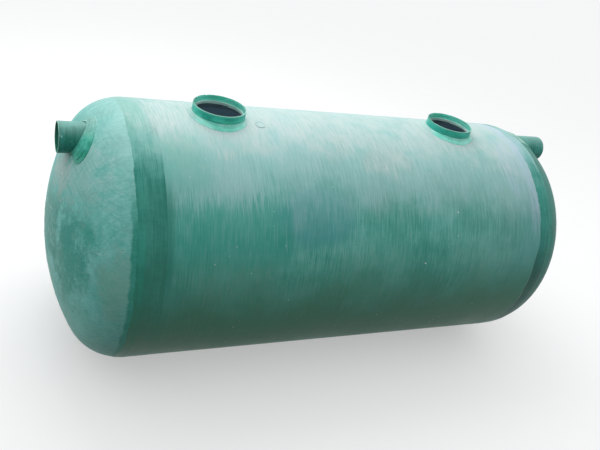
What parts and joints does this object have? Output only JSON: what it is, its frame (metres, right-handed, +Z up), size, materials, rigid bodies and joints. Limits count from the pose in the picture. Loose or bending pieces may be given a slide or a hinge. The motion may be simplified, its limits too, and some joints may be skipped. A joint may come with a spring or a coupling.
{
  "type": "septic tank",
  "caption": "Horizontal green glass-fibre septic tank: wound barrel, dished ends, open manhole necks on the crown and a pipe stub high in each end.",
  "frame": {"origin": "on the floor under the middle of the barrel", "axes": "+X along the barrel, from the outlet to the inlet; +Z up through the manholes"},
  "size_m": [5.677, 2.4998, 2.5898],
  "materials": {
    "wound_shell": "filament-wound green glass-fibre laminate, chalky on top",
    "moulded_end": "hand-laid grey-green glass-mat laminate",
    "joint_wrap": "dark green resin-rich wrap over the joint",
    "neck_laminate": "saturated green laminate with a pale cut edge",
    "collar_laminate": "mint green hand-laid laminate",
    "pipe_laminate": "dull dark green laminate"
  },
  "bodies": {
    "root": {"barrel_bottom": "wound_shell", "barrel_side_01": "wound_shell", "barrel_side_02": "wound_shell", "barrel_side_03": "wound_shell", "barrel_side_04": "wound_shell", "barrel_side_05": "wound_shell", "barrel_side_06": "wound_shell", "barrel_side_07": "wound_shell", "barrel_side_08": "wound_shell", "barrel_side_09": "wound_shell", "barrel_side_10": "wound_shell", "crown_outlet_strip": "wound_shell", "crown_manhole_panel_1": "wound_shell", "crown_middle_strip": "wound_shell", "crown_manhole_panel_2": "wound_shell", "crown_inlet_strip": "wound_shell", "outlet_end": "moulded_end", "inlet_end": "moulded_end", "outlet_joint_wrap": "joint_wrap", "inlet_joint_wrap": "joint_wrap", "manhole_neck_1": "neck_laminate", "manhole_neck_2": "neck_laminate", "manhole_collar_1": "collar_laminate", "manhole_collar_2": "collar_laminate", "outlet_pipe": "pipe_laminate", "inlet_pipe": "pipe_laminate", "outlet_pipe_collar": "collar_laminate", "inlet_pipe_collar": "collar_laminate", "vent_boss": "wound_shell"}
  },
  "joints": []
}
